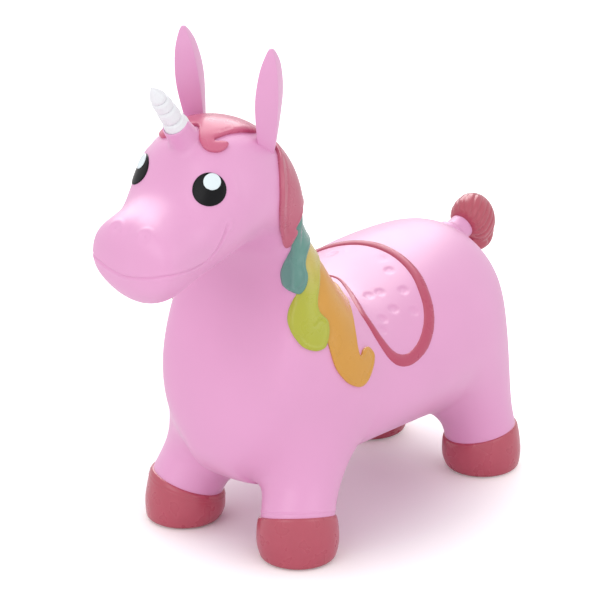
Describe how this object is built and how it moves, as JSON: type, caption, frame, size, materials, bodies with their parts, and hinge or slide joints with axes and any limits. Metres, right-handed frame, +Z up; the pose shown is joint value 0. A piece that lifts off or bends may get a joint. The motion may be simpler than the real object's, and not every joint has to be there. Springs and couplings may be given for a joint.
{
  "type": "inflatable hopper toy",
  "caption": "Inflatable bouncy unicorn with a ringed horn, leaf ears to hold, a relief mane, a saddle line and a tail; a plug closes the belly.",
  "frame": {"origin": "on the floor under the middle of the bounding box", "axes": "+Z up, nose towards -Y, tail towards +Y, the animal's left towards +X"},
  "size_m": [0.2352, 0.5552, 0.5146],
  "materials": {
    "pink_pvc": "satin",
    "raspberry_paint": "satin",
    "teal_paint": "satin",
    "lime_paint": "satin",
    "orange_paint": "satin",
    "black_paint": "gloss",
    "white_paint": "satin"
  },
  "bodies": {
    "toy": {"body_skin": "pink_pvc", "horn": "white_paint", "valve_seat": "white_paint", "mane_crown": "raspberry_paint", "mane_raspberry": "raspberry_paint", "mane_teal": "teal_paint", "mane_lime": "lime_paint", "mane_orange": "orange_paint", "saddle_rim": "raspberry_paint", "tail_stub": "pink_pvc", "hoof_front_left": "raspberry_paint", "hoof_rear_left": "raspberry_paint", "ear_root_left": "pink_pvc", "eye_left": "black_paint", "eye_glint_left": "white_paint", "hoof_front_right": "raspberry_paint", "hoof_rear_right": "raspberry_paint", "ear_root_right": "pink_pvc", "eye_right": "black_paint", "eye_glint_right": "white_paint"},
    "ear_left_blade": {"ear_left": "pink_pvc"},
    "ear_right_blade": {"ear_right": "pink_pvc"},
    "tail_end": {"tail_tuft": "raspberry_paint"},
    "plug": {"air_plug": "white_paint"}
  },
  "joints": [
    {"name": "ear_left_bend", "type": "hinge", "parent": "toy", "child": "ear_left_blade", "pos_m": [0.04433, -0.12643, 0.42135], "axis": [1, 0, 0], "range_deg": [-25, 20], "stiffness_Nm_per_rad": 0.9, "deforming": ["ear_root_left"]},
    {"name": "ear_right_bend", "type": "hinge", "parent": "toy", "child": "ear_right_blade", "pos_m": [-0.04433, -0.12643, 0.42135], "axis": [1, 0, 0], "range_deg": [-25, 20], "stiffness_Nm_per_rad": 0.9, "deforming": ["ear_root_right"]},
    {"name": "tail_bend", "type": "hinge", "parent": "toy", "child": "tail_end", "pos_m": [0, 0.21954, 0.22213], "axis": [1, 0, 0], "range_deg": [-15, 20], "stiffness_Nm_per_rad": 0.7, "deforming": ["tail_stub"]},
    {"name": "plug_pull", "type": "slide", "parent": "toy", "child": "plug", "axis": [0, 0, -1], "range_m": [0, 0.02]}
  ]
}
